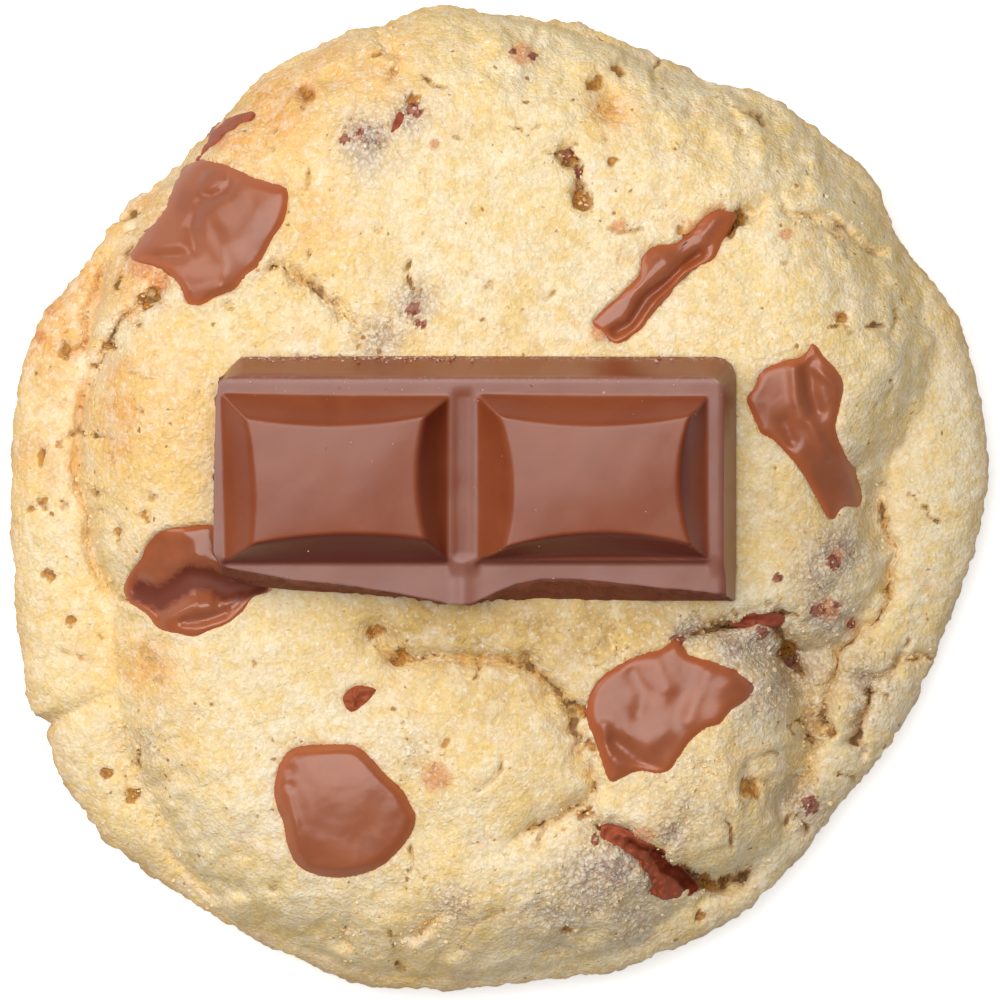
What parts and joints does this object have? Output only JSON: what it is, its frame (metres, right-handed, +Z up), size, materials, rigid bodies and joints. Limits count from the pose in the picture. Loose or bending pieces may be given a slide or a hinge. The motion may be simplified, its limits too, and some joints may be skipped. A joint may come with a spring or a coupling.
{
  "type": "chocolate chip cookie",
  "caption": "Thick, soft-baked round cookie with a slumped dome, cracks, melted chocolate chunks set in its crust, and a piece of a moulded chocolate bar lying on top.",
  "frame": {"origin": "centre of the bounding box, on the surface that the cookie's flat underside rests on", "axes": "+Z up, out of the cookie's crust; +X along the bar piece's length, towards its moulded end; +Y across the bar piece, towards its moulded long side"},
  "size_m": [0.0927, 0.093, 0.0289],
  "materials": {
    "baked_dough": "matte crumb",
    "melted_chocolate": "glossy, melted and set again",
    "moulded_chocolate": "satin, as it left the mould"
  },
  "bodies": {
    "root": {"cookie": "baked_dough", "bar_piece": "moulded_chocolate", "chunk_north_west": "melted_chocolate", "chunk_south_west": "melted_chocolate", "chunk_east": "melted_chocolate", "chunk_south_east": "melted_chocolate", "chunk_north_east": "melted_chocolate", "chunk_west": "melted_chocolate", "chunk_south": "melted_chocolate", "chip_north_west": "melted_chocolate", "chip_north": "melted_chocolate", "chip_south_west": "melted_chocolate", "chip_south_east": "melted_chocolate"}
  },
  "joints": []
}
